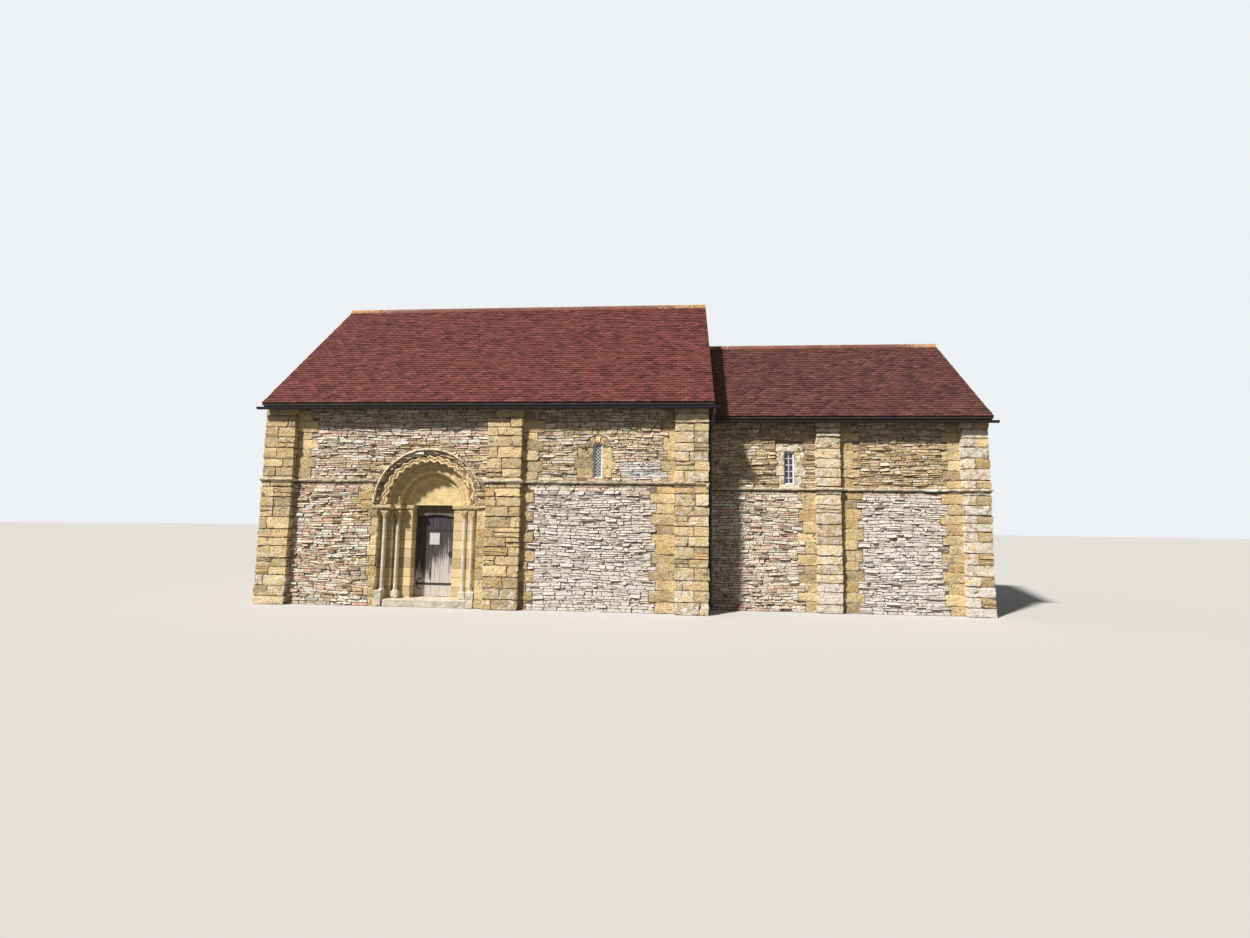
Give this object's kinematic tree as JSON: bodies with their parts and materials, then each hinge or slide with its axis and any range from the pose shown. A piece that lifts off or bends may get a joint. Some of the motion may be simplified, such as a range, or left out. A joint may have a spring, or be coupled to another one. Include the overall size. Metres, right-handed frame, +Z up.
{
  "type": "small chapel",
  "caption": "Hollow two-cell stone chapel with a carved round-arched south doorway, hinged plank door, small leaded windows, pilasters and steep tiled roofs.",
  "frame": {"origin": "under the nave's ridge line, in the middle of the nave's length, at ground level", "axes": "+X runs east along the ridge, +Y runs north, away from the doorway, +Z is up"},
  "size_m": [16.92, 7.168, 8.206],
  "materials": {
    "rubble_stone": "coursed sandstone rubble with lichen",
    "ashlar_stone": "squared yellow-ochre sandstone",
    "pale_stone": "weathered pale sandstone",
    "carved_stone": "carved sandstone, worn",
    "tympanum_stone": "smooth yellow sandstone",
    "shaft_stone": "pale limestone",
    "floor_stone": "worn flagstone",
    "frame_oak": "weathered oak",
    "door_oak": "dark weathered oak planks",
    "wrought_iron": "black forged iron",
    "clay_tile": "dark red-brown plain clay tiles",
    "ridge_tile": "half-round clay ridge tiles with lichen",
    "black_iron": "black gloss paint",
    "eaves_timber": "dark painted board",
    "leaded_glass": "old leaded glass"
  },
  "bodies": {
    "chapel": {"chancel_east_gable": "rubble_stone", "chancel_floor": "floor_stone", "chancel_north_wall": "rubble_stone", "chancel_pilasters": "ashlar_stone", "chancel_ridge_tiles": "ridge_tile", "chancel_roof_north": "clay_tile", "chancel_roof_south": "clay_tile", "chancel_south_wall": "rubble_stone", "chancel_string_course": "pale_stone", "chevron_order": "carved_stone", "door_frame": "frame_oak", "doorway_east_jamb": "ashlar_stone", "doorway_west_jamb": "ashlar_stone", "downpipes": "black_iron", "eaves_boards": "eaves_timber", "gutters": "black_iron", "hinge_pintles": "wrought_iron", "hood_mould": "pale_stone", "imposts": "pale_stone", "inner_order": "carved_stone", "nave_east_gable_north": "rubble_stone", "nave_east_gable_over_arch": "rubble_stone", "nave_east_gable_south": "rubble_stone", "nave_floor": "floor_stone", "nave_north_wall": "rubble_stone", "nave_pilasters": "ashlar_stone", "nave_ridge_tiles": "ridge_tile", "nave_roof_north": "clay_tile", "nave_roof_south": "clay_tile", "nave_south_wall_east": "rubble_stone", "nave_south_wall_over_door": "rubble_stone", "nave_south_wall_west": "rubble_stone", "nave_string_course": "pale_stone", "nave_west_gable": "rubble_stone", "nook_capitals": "carved_stone", "nook_shafts": "shaft_stone", "roll_order": "carved_stone", "shaft_bases": "shaft_stone", "threshold_step": "floor_stone", "tympanum": "tympanum_stone", "window_glazing": "leaded_glass"},
    "door": {"door_leaf": "door_oak", "door_ledges": "door_oak", "door_straps": "wrought_iron", "door_latch": "wrought_iron"}
  },
  "joints": [
    {"name": "door_hinge", "type": "hinge", "parent": "chapel", "child": "door", "pos_m": [-1.76, -2.53, 1.2], "axis": [0, 0, 1], "range_deg": [0, 95]}
  ]
}
